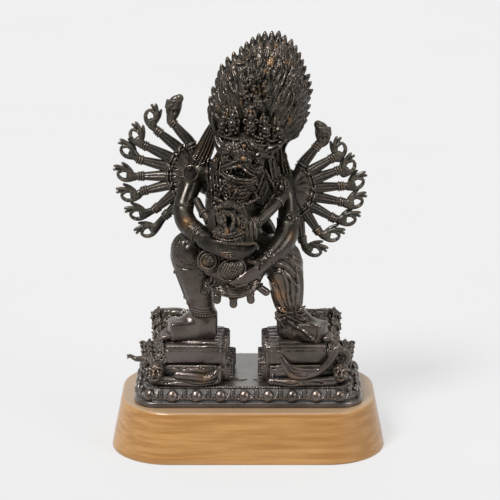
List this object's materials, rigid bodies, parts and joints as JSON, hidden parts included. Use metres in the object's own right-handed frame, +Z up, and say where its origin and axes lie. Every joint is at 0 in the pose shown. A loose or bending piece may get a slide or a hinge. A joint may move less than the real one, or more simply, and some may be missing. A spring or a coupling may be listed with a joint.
{
  "type": "vajrabhairava statue",
  "caption": "Cast bronze figure of a buffalo-headed, many-armed protector with consort, on a lotus base and a wooden plinth.",
  "frame": {"origin": "centre of the plinth's underside", "axes": "+Z up, the front faces -Y, +X to the viewer's right"},
  "size_m": [0.276, 0.164, 0.42],
  "materials": {
    "plinth_wood": "waxed honey-coloured hardwood, fine straight grain, satin",
    "base_bronze": "dark brown-black patinated cast bronze, worn on the petals",
    "heap_bronze": "dark patinated cast bronze with dust in the recesses",
    "figure_bronze": "near-black polished bronze patina, brown where handled",
    "consort_bronze": "brown bronze patina with grey dust in the detail",
    "fan_bronze": "dark bronze patina, greenish grey on the hands"
  },
  "bodies": {
    "root": {"wood_plinth": "plinth_wood", "lotus_base": "base_bronze", "trampled_beings_right": "heap_bronze", "trampled_beings_left": "heap_bronze", "vajrabhairava": "figure_bronze", "consort": "consort_bronze", "arm_fan_right": "fan_bronze", "arm_fan_left": "fan_bronze"}
  },
  "joints": []
}
